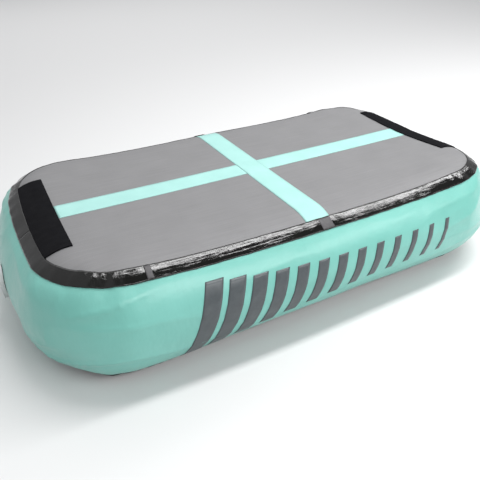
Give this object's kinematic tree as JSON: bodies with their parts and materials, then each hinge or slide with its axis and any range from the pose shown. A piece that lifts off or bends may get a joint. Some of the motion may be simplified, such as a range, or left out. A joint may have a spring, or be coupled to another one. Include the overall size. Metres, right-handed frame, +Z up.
{
  "type": "air track mat",
  "caption": "Inflatable rounded block mat with a bulging side wall, taped seams, a cross of stripes, hook strips on top at the ends and an inflation valve with a screw cap.",
  "frame": {"origin": "centre of the flat underside, midway between the mat's ends and sides", "axes": "+X along the mat away from the valve, +Y to the rear side, +Z up"},
  "size_m": [1.007, 0.58, 0.202],
  "materials": {
    "top_fabric": "grey PVC-coated drop-stitch fabric, fine woven rows",
    "bottom_fabric": "grey PVC-coated drop-stitch fabric, fine woven rows",
    "wall_fabric": "mint PVC-coated fabric, soft gloss",
    "stripe": "pale mint PVC tape, satin",
    "seam_tape": "black PVC tape, glossy and crinkled",
    "tape_patch": "dark grey PVC patch, satin",
    "hook_strip": "black hook tape, matte pile",
    "thread": "white polyester yarn",
    "inner_tape": "grey PVC reinforcing tape",
    "gasket": "black rubber",
    "valve_housing": "light grey moulded plastic, satin",
    "valve_cap": "grey moulded plastic, satin",
    "valve_inner": "pale grey moulded plastic",
    "tether": "dark grey flexible plastic",
    "spring_steel": "stainless spring wire"
  },
  "bodies": {
    "mat": {"top_panel": "top_fabric", "bottom_panel": "bottom_fabric", "side_wall": "wall_fabric", "side_wall_lap_patch": "wall_fabric", "drop_stitch_threads": "thread", "inner_seam_tape_top": "inner_tape", "inner_seam_tape_bottom": "inner_tape", "tape_joint_patches_top": "tape_patch", "tape_joint_patches_bottom": "tape_patch", "stripe_long": "stripe", "stripe_cross": "stripe", "hook_strip_left": "hook_strip", "hook_strip_right": "hook_strip", "outer_gasket": "gasket", "inner_gasket": "gasket", "valve_base": "valve_inner", "valve_body": "valve_housing", "seam_tape_top_front_left": "seam_tape", "seam_tape_bottom_front_left": "seam_tape", "seam_tape_top_front_middle": "seam_tape", "seam_tape_bottom_front_middle": "seam_tape", "seam_tape_top_front_right": "seam_tape", "seam_tape_bottom_front_right": "seam_tape", "seam_tape_top_rear_right": "seam_tape", "seam_tape_bottom_rear_right": "seam_tape", "seam_tape_top_rear_middle": "seam_tape", "seam_tape_bottom_rear_middle": "seam_tape", "seam_tape_top_rear_left": "seam_tape", "seam_tape_bottom_rear_left": "seam_tape"},
    "plunger": {"spring_cup": "valve_inner", "valve_spring": "spring_steel"},
    "stem": {"valve_stem": "valve_inner", "seal_disc": "gasket", "seal_retainer": "valve_inner"},
    "cap_carrier": {"cap_tether": "tether"},
    "cap": {"valve_cap": "valve_cap", "cap_gasket": "gasket"}
  },
  "joints": [
    {"name": "stem_press", "type": "slide", "parent": "mat", "child": "plunger", "axis": [1, 0, 0], "range_m": [0, 0.006], "stiffness_N_per_m": 600, "springref_m": -0.006, "deforming": ["valve_spring"]},
    {"name": "stem_turn", "type": "hinge", "parent": "plunger", "child": "stem", "pos_m": [-0.5, 0, 0.095], "axis": [1, 0, 0], "range_deg": [0, 90]},
    {"name": "cap_lift", "type": "slide", "parent": "mat", "child": "cap_carrier", "axis": [-1, 0, 0], "range_m": [0, 0.0046], "deforming": ["cap_tether"]},
    {"name": "cap_turn", "type": "hinge", "parent": "cap_carrier", "child": "cap", "pos_m": [-0.5, 0, 0.095], "axis": [-1, 0, 0], "range_deg": [0, 540]}
  ],
  "couplings": [
    {"joint": "cap_lift", "follows": "cap_turn", "m_per_rad": 0.00047746}
  ]
}
